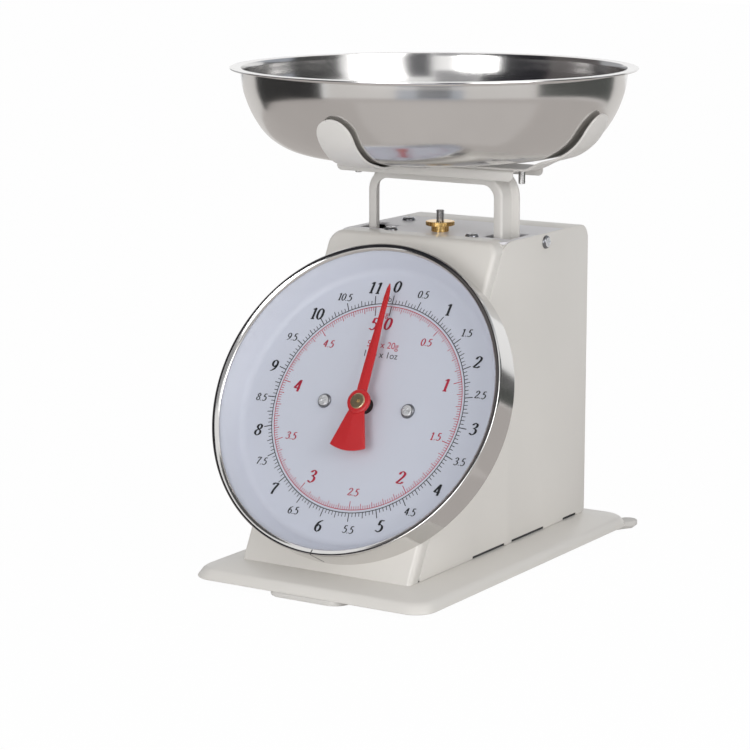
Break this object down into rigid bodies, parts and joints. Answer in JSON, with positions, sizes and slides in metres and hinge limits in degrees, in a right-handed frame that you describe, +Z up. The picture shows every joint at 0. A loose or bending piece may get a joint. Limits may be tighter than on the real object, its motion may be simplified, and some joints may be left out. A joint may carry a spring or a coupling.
{
  "type": "kitchen_scale",
  "caption": "Dial kitchen scale: sloped housing on a pressed tray base, round bezel dial with a red pointer, lift-off bowl on a four-arm cradle and bail, zero nut on top",
  "frame": {"origin": "centre of the bounding box in plan, on the table", "axes": "+X to the right of the dial as the reader sees it, +Y to the back, +Z up"},
  "size_m": [0.24, 0.262, 0.292],
  "materials": {
    "housing_paint": "satin",
    "top_paint": "satin",
    "bail_paint": "satin",
    "cradle_paint": "satin",
    "foot_grey": "matte",
    "screw_steel": "satin",
    "screw_chrome": "polished",
    "dial_enamel": "matte",
    "bezel_chrome": "polished",
    "crystal_clear": "gloss",
    "zinc_steel": "satin",
    "brass": "satin",
    "pointer_red": "satin",
    "spring_steel": "satin",
    "bowl_steel": "brushed"
  },
  "bodies": {
    "housing": {"base_tray": "housing_paint", "front_foot": "foot_grey", "rear_feet": "foot_grey", "base_screws": "screw_steel", "front_cover": "housing_paint", "side_panel_left": "housing_paint", "side_panel_right": "housing_paint", "back_cover": "housing_paint", "top_plate": "top_paint", "chassis_frame": "housing_paint", "top_screws": "screw_chrome", "side_screws": "screw_chrome", "dial_case": "housing_paint", "dial_plate": "dial_enamel", "dial_screws": "screw_chrome", "bezel_ring": "bezel_chrome", "crystal": "crystal_clear", "movement_bracket": "zinc_steel", "lever_pivots": "screw_steel"},
    "carriage": {"rack": "brass", "rack_carrier": "zinc_steel", "spring_bar": "screw_steel", "bail": "bail_paint", "carriage_pins": "screw_steel", "cradle_plate": "bail_paint", "cradle_cross": "cradle_paint", "cradle_screws": "screw_steel"},
    "pointer_shaft": {"pinion_shaft": "brass", "pointer": "pointer_red", "pointer_cap": "brass"},
    "upper_lever": {"upper_lever": "zinc_steel"},
    "lower_lever": {"lower_lever": "zinc_steel"},
    "hanger": {"hanger_stud": "screw_steel", "spring_yoke": "zinc_steel", "spring": "spring_steel"},
    "zero_nut": {"zero_nut": "brass"},
    "bowl": {"bowl": "bowl_steel"}
  },
  "joints": [
    {"name": "platform_travel", "type": "slide", "parent": "housing", "child": "carriage", "axis": [0, 0, -1], "range_m": [0, 0.01515], "stiffness_N_per_m": 3237, "springref_m": -0.003, "deforming": ["spring"]},
    {"name": "pointer_spin", "type": "hinge", "parent": "housing", "child": "pointer_shaft", "pos_m": [0, -0.0787, 0.1089], "axis": [0, 0.8862, -0.4633], "range_deg": [-1, 351]},
    {"name": "upper_lever_swing", "type": "hinge", "parent": "housing", "child": "upper_lever", "pos_m": [0, 0.085, 0.15], "axis": [1, 0, 0], "range_deg": [-0.2, 13.4]},
    {"name": "lower_lever_swing", "type": "hinge", "parent": "housing", "child": "lower_lever", "pos_m": [0, 0.085, 0.06], "axis": [1, 0, 0], "range_deg": [-0.2, 13.4]},
    {"name": "zero_nut_turn", "type": "hinge", "parent": "housing", "child": "zero_nut", "pos_m": [0, 0.019, 0.198], "axis": [0, 0, 1], "range_deg": [-540, 540]},
    {"name": "hanger_lift", "type": "slide", "parent": "housing", "child": "hanger", "axis": [0, 0, 1], "range_m": [-0.00125, 0.00125], "deforming": ["spring"]},
    {"name": "bowl_lift", "type": "slide", "parent": "carriage", "child": "bowl", "axis": [0, 0, 1], "range_m": [0, 0.08]}
  ],
  "couplings": [
    {"joint": "pointer_spin", "follows": "platform_travel", "rad_per_m": 402.82},
    {"joint": "upper_lever_swing", "follows": "platform_travel", "rad_per_m": 15.185},
    {"joint": "lower_lever_swing", "follows": "platform_travel", "rad_per_m": 15.185},
    {"joint": "hanger_lift", "follows": "zero_nut_turn", "m_per_rad": 0.00012732}
  ]
}
